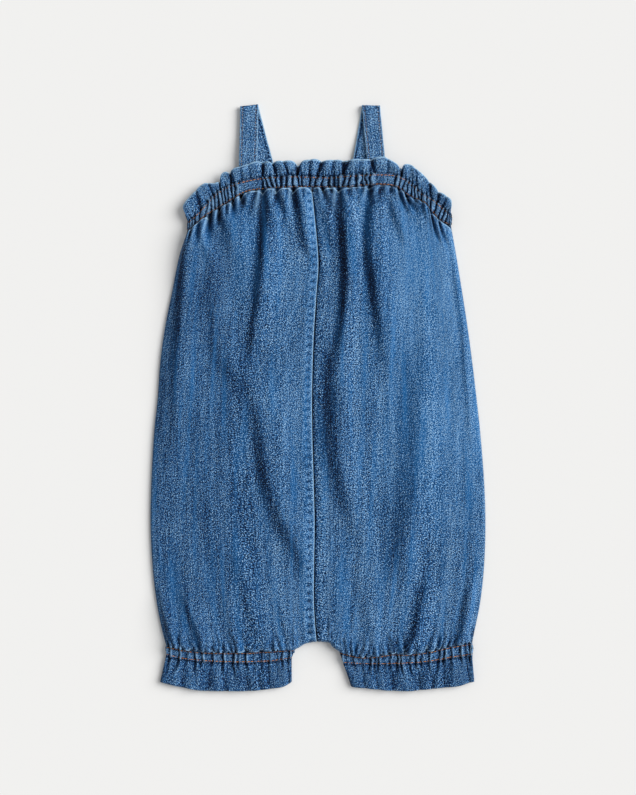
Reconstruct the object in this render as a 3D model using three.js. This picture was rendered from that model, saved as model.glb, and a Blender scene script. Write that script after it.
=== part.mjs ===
// Baby romper in denim, laid flat on its back with its front up: a full body gathered by elastic at the
// neck and at both legs, a frill at each gathered edge, and two narrow shoulder straps folded over at the top.
// Millimetres. X runs across, +Y to the straps, +Z up from the surface that the romper lies on.
// Left and right are as seen from above.

import * as THREE from 'three';

const { lerp, smoothstep } = THREE.MathUtils;

// ---- Cloth and seams ------------------------------------------------------------------------------------

const PANEL_WALL = 1.2;
const CASING_WALL = 2.0; // two layers with the elastic between them
const FRILL_WALL = 1.6; // the edge is turned, so a frill is two layers
const STRAP_WALL = 1.6;
const SEAM_GAP = 0.3; // between two pieces that lie on each other
const SEAM_INSET = 0.25; // each piece stops this far short of the line that it is sewn along
const FRONT_BASE = PANEL_WALL + SEAM_GAP; // underside of the front where it lies flat on the back

const SIDE_ROLL = 15; // the front rises from the side seam to its full height over this width
const SIDE_RISE = 2.0;
const GATHER_REACH = 34; // how far the gathers run into the panels from a casing
const GATHER_RISE = 1.2;
const CASING_CRIMP = 0.9;
const FRILL_WAVE = 2.4;

// ---- Grid of each wall ----------------------------------------------------------------------------------

const HALF_COLUMNS = 20;
const FRONT_ROWS = 21;
const BACK_ROWS = 10;
const LEG_COLUMNS = 17; // of the 20 columns of a half panel, those that end in the leg casing

// ---- Outline --------------------------------------------------------------------------------------------

// Width of the body at each height below the neck, and where the centre seam runs.
const BODY_SECTIONS = [
  { y: 111.4, left: -109.7, seam: 0.2, right: 109.4 },
  { y: 83.7, left: -115.3, seam: -1.0, right: 113.9 },
  { y: 56.1, left: -120.8, seam: -2.9, right: 118.2 },
  { y: 28.4, left: -124.7, seam: -4.1, right: 121.9 },
  { y: -0.8, left: -126.8, seam: -4.7, right: 125.4 },
  { y: -30.0, left: -129.8, seam: -4.4, right: 128.5 },
  { y: -68.7, left: -131.9, seam: -3.3, right: 131.5 },
  { y: -101.9, left: -132.4, seam: -2.6, right: 132.4 },
  { y: -135.1, left: -130.7, seam: -3.1, right: 131.2 },
  { y: -162.7, left: -127.4, seam: -3.2, right: 128.1 },
  { y: -184.0, left: -123.2, seam: -1.8, right: 123.8 },
];

// Sections across the neck edge from the left side to the right, the middle one on the centre seam.
// rim is the free edge of the frill, top and foot are the two stitch rows of the casing.
const NECK_SECTIONS = [
  { rimX: -104.9, rimY: 145.4, topX: -102.5, topY: 138.3, footX: -103.3, footY: 131.1 },
  { rimX: -105.9, rimY: 151.7, topX: -98.5, topY: 141.4, footX: -99.0, footY: 133.5 },
  { rimX: -96.6, rimY: 163.5, topX: -88.2, topY: 151.7, footX: -90.3, footY: 141.4 },
  { rimX: -89.5, rimY: 169.1, topX: -82.8, topY: 158.4, footX: -82.4, footY: 146.2 },
  { rimX: -80.8, rimY: 169.1, topX: -76.9, topY: 163.5, footX: -74.5, footY: 150.9 },
  { rimX: -73.7, rimY: 178.1, topX: -69.8, topY: 167.0, footX: -67.4, footY: 155.2 },
  { rimX: -61.1, rimY: 181.3, topX: -57.9, topY: 170.6, footX: -57.1, footY: 161.2 },
  { rimX: -46.8, rimY: 185.7, topX: -46.1, topY: 172.8, footX: -44.5, footY: 163.5 },
  { rimX: -32.6, rimY: 184.9, topX: -31.0, topY: 174.2, footX: -30.3, footY: 164.7 },
  { rimX: -18.4, rimY: 184.9, topX: -17.6, topY: 174.6, footX: -16.8, footY: 165.1 },
  { rimX: -4.2, rimY: 187.6, topX: -4.2, topY: 174.2, footX: -5.0, footY: 165.5 },
  { rimX: 9.2, rimY: 186.4, topX: 9.2, topY: 173.8, footX: 9.2, footY: 165.1 },
  { rimX: 23.5, rimY: 187.2, topX: 22.7, topY: 174.9, footX: 22.7, footY: 165.1 },
  { rimX: 37.7, rimY: 187.2, topX: 37.7, topY: 175.7, footX: 37.7, footY: 166.5 },
  { rimX: 52.4, rimY: 189.0, topX: 52.7, topY: 175.9, footX: 51.9, footY: 167.0 },
  { rimX: 64.5, rimY: 180.9, topX: 64.5, topY: 174.6, footX: 63.0, footY: 165.1 },
  { rimX: 71.9, rimY: 183.6, topX: 73.2, topY: 169.1, footX: 70.9, footY: 158.8 },
  { rimX: 83.5, rimY: 173.8, topX: 81.9, topY: 160.8, footX: 83.5, footY: 153.3 },
  { rimX: 95.0, rimY: 162.7, topX: 90.6, topY: 156.0, footX: 89.0, footY: 146.9 },
  { rimX: 104.4, rimY: 155.6, topX: 99.3, topY: 148.9, footX: 96.1, footY: 139.0 },
  { rimX: 105.0, rimY: 150.1, topX: 104.5, topY: 143.0, footX: 105.2, footY: 135.1 },
];

// Sections across each leg edge, left to right. top and foot are the stitch rows, rim is the hem of the frill.
const LEFT_LEG_SECTIONS = [
  { topX: -119.9, topY: -195.9, footX: -119.9, footY: -203.0, rimX: -124.7, rimY: -224.4 },
  { topX: -113.2, topY: -197.5, footX: -112.4, footY: -205.0, rimX: -115.6, rimY: -226.7 },
  { topX: -102.5, topY: -199.6, footX: -101.4, footY: -207.0, rimX: -104.5, rimY: -229.1 },
  { topX: -91.9, topY: -200.5, footX: -88.2, footY: -208.2, rimX: -91.9, rimY: -231.2 },
  { topX: -81.6, topY: -201.1, footX: -77.7, footY: -208.7, rimX: -79.2, rimY: -231.5 },
  { topX: -69.8, topY: -201.1, footX: -65.8, footY: -209.0, rimX: -65.0, rimY: -231.5 },
  { topX: -59.5, topY: -201.1, footX: -56.3, footY: -209.0, rimX: -52.4, rimY: -231.3 },
  { topX: -40.5, topY: -200.1, footX: -38.9, footY: -208.4, rimX: -38.2, rimY: -229.9 },
  { topX: -28.7, topY: -199.3, footX: -29.5, footY: -207.2, rimX: -27.1, rimY: -228.0 },
  { topX: -18.0, topY: -198.8, footX: -20.8, footY: -205.6, rimX: -20.8, rimY: -224.4 },
];
const RIGHT_LEG_SECTIONS = [
  { topX: 16.7, topY: -200.3, footX: 19.9, footY: -209.6, rimX: 26.2, rimY: -228.3 },
  { topX: 26.6, topY: -203.4, footX: 30.6, footY: -210.1, rimX: 34.5, rimY: -229.1 },
  { topX: 36.1, topY: -204.9, footX: 42.4, footY: -210.3, rimX: 44.0, rimY: -230.0 },
  { topX: 47.2, topY: -204.0, footX: 55.1, footY: -210.3, rimX: 56.6, rimY: -231.2 },
  { topX: 58.2, topY: -202.2, footX: 66.9, footY: -210.1, rimX: 71.7, rimY: -231.5 },
  { topX: 71.7, topY: -202.5, footX: 81.1, footY: -209.2, rimX: 83.5, rimY: -230.4 },
  { topX: 89.0, topY: -200.1, footX: 95.4, footY: -207.3, rimX: 96.1, rimY: -229.1 },
  { topX: 100.4, topY: -197.2, footX: 105.2, footY: -205.4, rimX: 110.0, rimY: -227.8 },
  { topX: 111.9, topY: -195.1, footX: 113.5, footY: -204.3, rimX: 117.5, rimY: -225.5 },
  { topX: 122.0, topY: -193.4, footX: 121.7, footY: -203.0, rimX: 123.4, rimY: -224.0 },
];

// The crotch edge between the legs, left to right; the middle point ends the centre seam.
const CROTCH = [
  { x: -18.0, y: -198.8 },
  { x: -14.5, y: -197.1 },
  { x: -9.7, y: -194.2 },
  { x: -1.0, y: -192.4 },
  { x: 8.5, y: -193.4 },
  { x: 11.4, y: -196.7 },
  { x: 16.7, y: -200.3 },
];

// ---- Folds of the front ---------------------------------------------------------------------------------

// Each runs from its head down to its foot, bowed sideways by bow. height below zero is a crease.
const FOLDS = [
  { headX: -99.8, headY: 133, footX: -117, footY: -52, bow: -1.5, height: -2.6, halfWidth: 6 }, // left side
  { headX: -106, headY: 120, footX: -123, footY: -20, bow: -2, height: 1.3, halfWidth: 6 },
  { headX: -80, headY: 128, footX: -88, footY: -30, bow: 5, height: 1.0, halfWidth: 13 },
  { headX: -43.7, headY: 164, footX: -54, footY: 48, bow: 1, height: -2.6, halfWidth: 6 }, // left of centre
  { headX: -46, headY: 24, footX: -20, footY: -126, bow: -8, height: -1.4, halfWidth: 9 },
  { headX: -33, headY: 160, footX: -33, footY: -34, bow: 2, height: 1.5, halfWidth: 8 },
  { headX: -17.6, headY: 165, footX: -12, footY: 118, bow: 0, height: -2.0, halfWidth: 5 },
  { headX: 14.8, headY: 165, footX: 12.4, footY: 23, bow: 7, height: -2.8, halfWidth: 6 }, // right of centre
  { headX: 9, headY: 2, footX: 18, footY: -86, bow: 0, height: -1.5, halfWidth: 9 },
  { headX: 28, headY: 160, footX: 42, footY: -76, bow: -9, height: 1.6, halfWidth: 8 },
  { headX: 41, headY: 164, footX: 46, footY: 60, bow: -5, height: -2.3, halfWidth: 6 },
  { headX: 68, headY: 150, footX: 78, footY: 10, bow: 3, height: 1.1, halfWidth: 12 },
  { headX: 76, headY: -28, footX: 59, footY: -126, bow: -2, height: -1.3, halfWidth: 8 },
  { headX: 97, headY: 138, footX: 108, footY: -110, bow: 3, height: 1.5, halfWidth: 9 }, // right side
  { headX: 82, headY: -150, footX: 68, footY: -206, bow: -1, height: -1.9, halfWidth: 6 }, // over the right leg
  { headX: 116, headY: -150, footX: 107, footY: -200, bow: -1, height: -1.9, halfWidth: 5 },
  { headX: -126, headY: -162, footX: -114, footY: -202, bow: 1, height: -1.8, halfWidth: 5 }, // over the left leg
  { headX: -105, headY: -162, footX: -93, footY: -206, bow: 1, height: -2.0, halfWidth: 6 },
  { headX: -51, headY: -165, footX: -48, footY: -206, bow: 1, height: -1.2, halfWidth: 6 },
];

// ---- Straps ---------------------------------------------------------------------------------------------

const STRAP_WIDTH = 14.4;
const STRAP_TOP = 231.5;
const STRAP_LIFT = 2 * (STRAP_WALL + SEAM_GAP); // both runs of a strap lie between the front and the back
const STRAP_DROP_FROM = 190; // a strap comes down to the surface past the frill, between these two heights
const STRAP_DROP_TO = 212;
const RUN_STEPS = 8;
const FOLD_STEPS = 6;
const STRAP_COLUMNS = 4;

// Middle line of the two runs: where each is sewn in and where the strap folds over. liftFrom and liftTo
// bound the width in which the front lies over the strap.
const STRAPS = [
  { side: 'left', foldX: -54.2, frontX: -55.6, backX: -37.4, endY: 165.2, liftFrom: -65, liftTo: -28 },
  { side: 'right', foldX: 41.8, frontX: 47.6, backX: 31.6, endY: 168.2, liftFrom: 22, liftTo: 57 },
];

// ---- Colours --------------------------------------------------------------------------------------------

const DENIM = 0x3e6491;
const DENIM_INSIDE = 0x3a5c84;
const DENIM_CRIMPED = 0x37597f;
const DENIM_WORN = 0x52729a;

function denim(colour) {
  return new THREE.MeshStandardMaterial({ color: colour, roughness: 0.92, metalness: 0 });
}

// ---- Curves and heights ---------------------------------------------------------------------------------

function curveThrough(points) {
  return new THREE.SplineCurve(points.map(({ x, y }) => new THREE.Vector2(x, y)));
}

// One edge of a gathered band: name is rim, top or foot.
function bandEdge(sections, name) {
  return curveThrough(sections.map((row) => ({ x: row[`${name}X`], y: row[`${name}Y`] })));
}

function foldHeight(x, y) {
  let height = 0;
  for (const fold of FOLDS) {
    const t = (fold.headY - y) / (fold.headY - fold.footY);
    const offset = (x - lerp(fold.headX, fold.footX, t) - fold.bow * 4 * t * (1 - t)) / fold.halfWidth;
    const fade = smoothstep(t, -0.05, 0.12) * (1 - smoothstep(t, 0.7, 1));
    height += fold.height * fade * Math.exp(-offset * offset);
  }
  return height;
}

// How far the straps hold the front off the back.
function strapLift(x, y) {
  let lift = 0;
  for (const { liftFrom, liftTo, endY } of STRAPS) {
    const across = smoothstep(x, liftFrom - 10, liftFrom) * (1 - smoothstep(x, liftTo, liftTo + 10));
    lift = Math.max(lift, STRAP_LIFT * across * smoothstep(y, endY - 30, endY - 2));
  }
  return lift;
}

// Underside of the front; sideDistance is how far in from the nearer side seam.
function frontUnderside(x, y, sideDistance) {
  const body = SIDE_RISE * smoothstep(sideDistance, 0, SIDE_ROLL) + foldHeight(x, y);
  return FRONT_BASE + Math.max(0, body, strapLift(x, y));
}

// Uneven up and down of gathered cloth, from 0 to 1, one fold for each two columns.
function crimp(column) {
  return (0.5 + 0.5 * Math.cos(Math.PI * column)) * (0.8 + 0.2 * Math.sin(1.7 * column));
}

// ---- Walls of cloth -------------------------------------------------------------------------------------

// A closed wall with a grid of columns and rows. place(u, v) gives a point of its underside: u runs from
// left to right, v from the strap end to the leg end.
function clothWall(name, { columns, rows, wall, colour, place }) {
  const geometry = new THREE.BoxGeometry(1, 1, 1, columns, rows, 1);
  const vertices = geometry.attributes.position;
  for (let i = 0; i < vertices.count; i++) {
    const under = place(vertices.getX(i) + 0.5, 0.5 - vertices.getY(i));
    const rise = vertices.getZ(i) > 0 ? wall : 0;
    vertices.setXYZ(i, under.x, under.y, under.z + rise);
  }
  geometry.computeVertexNormals();
  const mesh = new THREE.Mesh(geometry, denim(colour));
  mesh.name = name;
  return mesh;
}

// A patch bounded by four edges; each edge is a function of 0 to 1 that gives a 2-D point.
function patchPoint({ top, bottom, left, right }, u, v) {
  const blend = (axis) => {
    const downAndAcross = lerp(top(u)[axis], bottom(u)[axis], v) + lerp(left(v)[axis], right(v)[axis], u);
    const topCorners = lerp(top(0)[axis], top(1)[axis], u);
    const bottomCorners = lerp(bottom(0)[axis], bottom(1)[axis], u);
    return downAndAcross - lerp(topCorners, bottomCorners, v);
  };
  return { x: blend('x'), y: blend('y') };
}

// Moves a position from 0 to 1 in from both ends of a length, to leave the gap of the seams there.
function insideSeams(t, length) {
  return lerp(SEAM_INSET / length, 1 - SEAM_INSET / length, t);
}

// ---- Body panels ----------------------------------------------------------------------------------------

const neckFoot = bandEdge(NECK_SECTIONS, 'foot');
const LEG_SHARE = LEG_COLUMNS / HALF_COLUMNS;
const PANEL_LENGTH = 340;
const PANEL_WIDTH = 125;

// The four edges of a half body, which the front and the back share.
function halfBody(side) {
  const isLeft = side === 'left';
  const legTop = bandEdge(isLeft ? LEFT_LEG_SECTIONS : RIGHT_LEG_SECTIONS, 'top');
  const crotch = curveThrough(isLeft ? CROTCH.slice(0, 4) : CROTCH.slice(3));
  const top = (u) => neckFoot.getPoint(isLeft ? u / 2 : 0.5 + u / 2);
  const bottom = (u) => {
    const fromSide = isLeft ? u : 1 - u;
    if (fromSide <= LEG_SHARE) {
      return legTop.getPoint(isLeft ? fromSide / LEG_SHARE : 1 - fromSide / LEG_SHARE);
    }
    const onCrotch = (fromSide - LEG_SHARE) / (1 - LEG_SHARE);
    return crotch.getPoint(isLeft ? onCrotch : 1 - onCrotch);
  };
  const edge = (column, u) => {
    const sections = BODY_SECTIONS.map((row) => ({ x: row[column], y: row.y }));
    const curve = curveThrough([top(u), ...sections, bottom(u)]);
    return (v) => curve.getPoint(v);
  };
  return { top, bottom, left: edge(isLeft ? 'left' : 'seam', 0), right: edge(isLeft ? 'seam' : 'right', 1) };
}

function panelPoint(edges, u, v) {
  return patchPoint(edges, insideSeams(u, PANEL_WIDTH), insideSeams(v, PANEL_LENGTH));
}

function frontPanel(side) {
  const edges = halfBody(side);
  const place = (u, v) => {
    const { x, y } = panelPoint(edges, u, v);
    const sideDistance = PANEL_WIDTH * (side === 'left' ? u : 1 - u);
    const fromCasing = Math.min(v, 1 - v) * PANEL_LENGTH;
    const gathers = GATHER_RISE * crimp(u * HALF_COLUMNS) * (1 - smoothstep(fromCasing, 0, GATHER_REACH));
    return { x, y, z: frontUnderside(x, y, sideDistance) + gathers };
  };
  const grid = { columns: HALF_COLUMNS, rows: FRONT_ROWS, wall: PANEL_WALL, colour: DENIM };
  return clothWall(`front_panel_${side}`, { ...grid, place });
}

function backPanel(side) {
  const edges = halfBody(side);
  const place = (u, v) => ({ ...panelPoint(edges, u, v), z: 0 });
  const grid = { columns: HALF_COLUMNS, rows: BACK_ROWS, wall: PANEL_WALL, colour: DENIM_INSIDE };
  return clothWall(`back_panel_${side}`, { ...grid, place });
}

// ---- Gathered edges -------------------------------------------------------------------------------------

// One strip of a gathered edge, between two of its lines, upper the one nearer to the straps.
function bandPoint(sections, upper, lower) {
  const from = bandEdge(sections, upper);
  const to = bandEdge(sections, lower);
  return (u, v) => {
    const a = from.getPoint(u);
    const b = to.getPoint(u);
    const { x, y } = a.clone().lerp(b, insideSeams(v, a.distanceTo(b)));
    return { x, y };
  };
}

// The casing and the frill of one gathered edge, in front and at the back. The frill is above the casing at
// the neck and below it at a leg.
function gatheredEdge(name, sections, { columns, width, frillAbove }) {
  const casing = bandPoint(sections, 'top', 'foot');
  const frill = frillAbove ? bandPoint(sections, 'rim', 'top') : bandPoint(sections, 'foot', 'rim');
  const front = (point, waveHeight) => (u, v) => {
    const { x, y } = point(u, v);
    const sideDistance = width * Math.min(u, 1 - u);
    return { x, y, z: frontUnderside(x, y, sideDistance) + waveHeight(u, v) };
  };
  const flat = (point) => (u, v) => ({ ...point(u, v), z: 0 });
  const casingCrimp = (u) => CASING_CRIMP * crimp(u * columns);
  const frillWave = (u, v) => {
    const spread = frillAbove ? 1 - v : v;
    return lerp(casingCrimp(u), FRILL_WAVE * crimp(u * columns * 0.8), spread);
  };
  const casingGrid = { columns, rows: 2, wall: CASING_WALL, colour: DENIM_CRIMPED };
  const frillGrid = { columns, rows: 3, wall: FRILL_WALL, colour: DENIM };
  const backGrid = { columns, rows: 1, wall: PANEL_WALL, colour: DENIM_INSIDE };
  return [
    clothWall(`${name}_casing_front`, { ...casingGrid, place: front(casing, casingCrimp) }),
    clothWall(`${name}_frill_front`, { ...frillGrid, place: front(frill, frillWave) }),
    clothWall(`${name}_casing_back`, { ...backGrid, place: flat(casing) }),
    clothWall(`${name}_frill_back`, { ...backGrid, place: flat(frill) }),
  ];
}

// ---- Straps ---------------------------------------------------------------------------------------------

// A strap is one strip: up the front run, over the fold, and down the back run under it.
function strap({ side, foldX, frontX, backX, endY }) {
  const foldRadius = (STRAP_WALL + SEAM_GAP) / 2;
  const foldY = STRAP_TOP - foldRadius - STRAP_WALL / 2 - STRAP_WIDTH / 2 * 0.12;
  const fold = new THREE.Vector2(foldX, foldY);
  const frontEnd = new THREE.Vector2(frontX, endY);
  const backEnd = new THREE.Vector2(backX, endY);
  const steps = 2 * RUN_STEPS + FOLD_STEPS;

  // Middle of the strip at a step: plan position, height above the back run's middle, and which way is up.
  const station = (step) => {
    if (step <= RUN_STEPS) {
      return { plan: frontEnd.clone().lerp(fold, step / RUN_STEPS), turn: 0 };
    }
    if (step >= RUN_STEPS + FOLD_STEPS) {
      return { plan: fold.clone().lerp(backEnd, (step - RUN_STEPS - FOLD_STEPS) / RUN_STEPS), turn: Math.PI };
    }
    return { plan: fold, turn: (Math.PI * (step - RUN_STEPS)) / FOLD_STEPS };
  };
  const up = fold.clone().sub(frontEnd).normalize();
  const down = fold.clone().sub(backEnd).normalize();

  const geometry = new THREE.BoxGeometry(1, 1, 1, STRAP_COLUMNS, steps, 1);
  const vertices = geometry.attributes.position;
  for (let i = 0; i < vertices.count; i++) {
    const { plan, turn } = station(Math.round((vertices.getY(i) + 0.5) * steps));
    const along = up.clone().lerp(down, turn / Math.PI).normalize();
    const radius = foldRadius + vertices.getZ(i) * STRAP_WALL;
    const sideways = vertices.getX(i) * STRAP_WIDTH;
    const reach = radius * Math.sin(turn);
    const x = plan.x + along.y * sideways + along.x * reach;
    const y = plan.y - along.x * sideways + along.y * reach;
    const lifted = (PANEL_WALL + SEAM_GAP) * (1 - smoothstep(y, STRAP_DROP_FROM, STRAP_DROP_TO));
    vertices.setXYZ(i, x, y, lifted + STRAP_WALL / 2 + foldRadius + radius * Math.cos(turn));
  }
  geometry.computeVertexNormals();
  const mesh = new THREE.Mesh(geometry, denim(DENIM_WORN));
  mesh.name = `strap_${side}`;
  return mesh;
}

// ---- The romper -----------------------------------------------------------------------------------------

const romper = new THREE.Group();
for (const side of ['left', 'right']) {
  romper.add(frontPanel(side), backPanel(side));
}
romper.add(...gatheredEdge('neck', NECK_SECTIONS, { columns: 2 * HALF_COLUMNS, width: 240, frillAbove: true }));
const legGrid = { columns: LEG_COLUMNS, width: 104, frillAbove: false };
romper.add(...gatheredEdge('left_leg', LEFT_LEG_SECTIONS, legGrid));
romper.add(...gatheredEdge('right_leg', RIGHT_LEG_SECTIONS, legGrid));
romper.add(...STRAPS.map(strap));

export default romper;
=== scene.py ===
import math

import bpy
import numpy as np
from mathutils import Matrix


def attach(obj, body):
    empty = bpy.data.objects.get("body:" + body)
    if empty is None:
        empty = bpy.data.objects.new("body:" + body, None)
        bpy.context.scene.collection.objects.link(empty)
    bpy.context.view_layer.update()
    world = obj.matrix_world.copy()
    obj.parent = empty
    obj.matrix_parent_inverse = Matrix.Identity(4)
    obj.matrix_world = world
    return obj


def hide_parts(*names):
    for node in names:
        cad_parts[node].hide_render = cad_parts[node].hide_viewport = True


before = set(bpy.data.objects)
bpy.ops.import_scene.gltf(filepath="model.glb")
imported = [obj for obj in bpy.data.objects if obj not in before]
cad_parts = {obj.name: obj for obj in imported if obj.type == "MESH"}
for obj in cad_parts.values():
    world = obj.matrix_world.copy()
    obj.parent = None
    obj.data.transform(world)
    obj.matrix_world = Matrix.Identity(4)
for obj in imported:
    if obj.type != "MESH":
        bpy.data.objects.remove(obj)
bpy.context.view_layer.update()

# A baby romper in washed denim, laid flat on its back: gathered by elastic at the neck and the legs, with a
# frill at each gathered edge, a topstitched centre front seam and two folded shoulder straps.
# Tables and heights are in millimetres and are turned to metres when a piece is made. X runs across,
# +Y to the straps, +Z up. Left and right are as seen from above. The last number given to soft_noise is its
# seed, so every run makes the same cloth.

MM = 0.001

# ---- Sizes of the cloth ---------------------------------------------------------------------------------

CLOTH = 0.8               # one layer of denim
CASING_CLOTH = 1.6        # two layers with the elastic between them
FRILL_CLOTH = 1.3         # a turned edge, two layers pressed together
STRAP_CLOTH = 1.5
BACK_TOP = 1.5            # nothing of the front goes lower than this over the back
SEAM_INSET = 0.12         # each piece stops this far short of its seam line

PANEL_LENGTH = 340.0
PANEL_WIDTH = 125.0
PANEL_CUT_LENGTH = 362.0  # longer than the laid panel, for the folds and pouches
CUT_FULLNESS = 1.12       # how much wider the cut cloth is than the laid panel
EDGE_LIFT = 0.1           # the side of a front piece rolls down to this much over its thickness
PANEL_ROLL = 3.0          # radius of that roll on the panels and the neck edge
LEG_ROLL = 2.6            # and at the leg edges
NECK_RUN = 123.0          # run along half of the neck edge
RIM_RUN = 250.0           # run along the whole of the neck frill's rim
CREST_LIMIT = 9.0         # crests above this height are rounded off
CREST_ROUNDING = 4.5      # and come no higher than this above it
POUCH_DEPTH = 3.0         # neck gathers at least this deep part one pouch from the next
SEAM_TOP_X = -5.0         # where the centre seam meets the neck casing
SEAM_ROW = 2.9            # the seam's topstitching stands this far left of the seam
SEAM_PUCKER_PITCH = 6.3
LEG_SHARE = 0.85          # share of a half panel's foot that is gathered into the leg casing

# Columns and rows of each piece's grid.
FRONT_GRID = (144, 316)
BACK_GRID = (60, 150)
NECK_CASING_GRID = (820, 18)
NECK_FRILL_GRID = (700, 28)
LEG_CASING_GRID = (380, 14)
LEG_FRILL_GRID = (340, 36)
BACK_STRIP_GRID = (200, 6)
STRAP_GRID = (28, 190)

# ---- Outline --------------------------------------------------------------------------------------------

# Sections across the body: y, then x of the left edge, the centre seam and the right edge.
BODY_SECTIONS = [
    (111.4, -109.7, 0.2, 109.4),
    (83.7, -115.3, -1.0, 113.9),
    (56.1, -120.8, -2.9, 118.2),
    (28.4, -124.7, -4.1, 121.9),
    (-0.8, -126.8, -4.7, 125.4),
    (-30.0, -129.8, -4.4, 128.5),
    (-68.7, -131.9, -3.3, 131.5),
    (-101.9, -132.4, -2.6, 132.4),
    (-135.1, -130.7, -3.1, 131.2),
    (-162.7, -127.4, -3.2, 128.1),
    (-184.0, -123.2, -1.8, 123.8),
]

# Sections across the neck edge: rim x, rim y, upper stitch row x, y, lower stitch row x, y.
NECK_SECTIONS = [
    (-104.9, 145.4, -102.5, 138.3, -103.3, 131.1),
    (-105.9, 151.7, -98.5, 141.4, -99.0, 133.5),
    (-96.6, 163.5, -88.2, 151.7, -90.3, 141.4),
    (-89.5, 169.1, -82.8, 158.4, -82.4, 146.2),
    (-80.8, 169.6, -76.9, 163.5, -74.5, 150.9),
    (-73.7, 178.1, -69.8, 167.0, -67.4, 155.2),
    (-61.1, 182.3, -57.9, 170.6, -57.1, 161.2),
    (-46.8, 186.0, -46.1, 172.8, -44.5, 163.5),
    (-32.6, 185.9, -31.0, 174.2, -30.3, 164.7),
    (-18.4, 186.4, -17.6, 174.6, -16.8, 165.1),
    (-4.2, 187.6, -4.2, 174.2, -5.0, 165.5),
    (9.2, 187.0, 9.2, 173.8, 9.2, 165.1),
    (23.5, 187.4, 22.7, 174.9, 22.7, 165.1),
    (37.7, 187.6, 37.7, 175.7, 37.7, 166.5),
    (52.4, 189.0, 52.7, 175.9, 51.9, 167.0),
    (63.0, 184.4, 63.6, 174.6, 62.4, 165.1),
    (71.9, 183.6, 73.2, 169.1, 70.9, 158.8),
    (83.5, 174.8, 81.9, 160.8, 83.5, 153.3),
    (95.0, 163.7, 90.6, 156.0, 89.0, 146.9),
    (104.4, 155.8, 99.3, 148.9, 96.1, 139.0),
    (105.0, 149.1, 104.5, 143.0, 105.2, 135.1),
]

# Sections across each leg edge: upper stitch row x, y, lower stitch row x, y, rim x, rim y.
LEFT_LEG_SECTIONS = [
    (-119.9, -195.9, -119.9, -203.0, -124.7, -224.4),
    (-113.2, -197.5, -112.4, -205.0, -115.6, -226.7),
    (-102.5, -199.6, -101.4, -207.0, -104.5, -229.1),
    (-91.9, -200.5, -88.2, -208.2, -91.9, -231.2),
    (-81.6, -201.1, -77.7, -208.7, -79.2, -231.5),
    (-69.8, -201.1, -65.8, -209.0, -65.0, -231.5),
    (-59.5, -201.1, -56.3, -209.0, -52.4, -231.3),
    (-40.5, -200.1, -38.9, -208.4, -38.2, -229.9),
    (-28.7, -199.3, -29.5, -207.2, -27.1, -228.0),
    (-18.0, -198.8, -20.8, -205.6, -20.8, -224.4),
]
RIGHT_LEG_SECTIONS = [
    (16.7, -200.3, 19.9, -209.6, 26.2, -228.3),
    (26.6, -203.4, 30.6, -210.1, 34.5, -229.1),
    (36.1, -204.9, 42.4, -210.3, 44.0, -230.0),
    (47.2, -204.0, 55.1, -210.3, 56.6, -231.2),
    (58.2, -202.2, 66.9, -210.1, 71.7, -231.5),
    (71.7, -202.5, 81.1, -209.2, 83.5, -230.4),
    (89.0, -200.1, 95.4, -207.3, 96.1, -229.1),
    (100.4, -197.2, 105.2, -205.4, 110.0, -227.8),
    (111.9, -195.1, 113.5, -204.3, 117.5, -225.5),
    (122.0, -193.4, 121.7, -203.0, 123.4, -224.0),
]
CROTCH = [(-18.0, -198.8), (-14.5, -197.1), (-9.7, -194.2), (-1.0, -192.4), (8.5, -193.4), (11.4, -196.7),
          (16.7, -200.3)]

# ---- Folds of the front ---------------------------------------------------------------------------------

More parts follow.
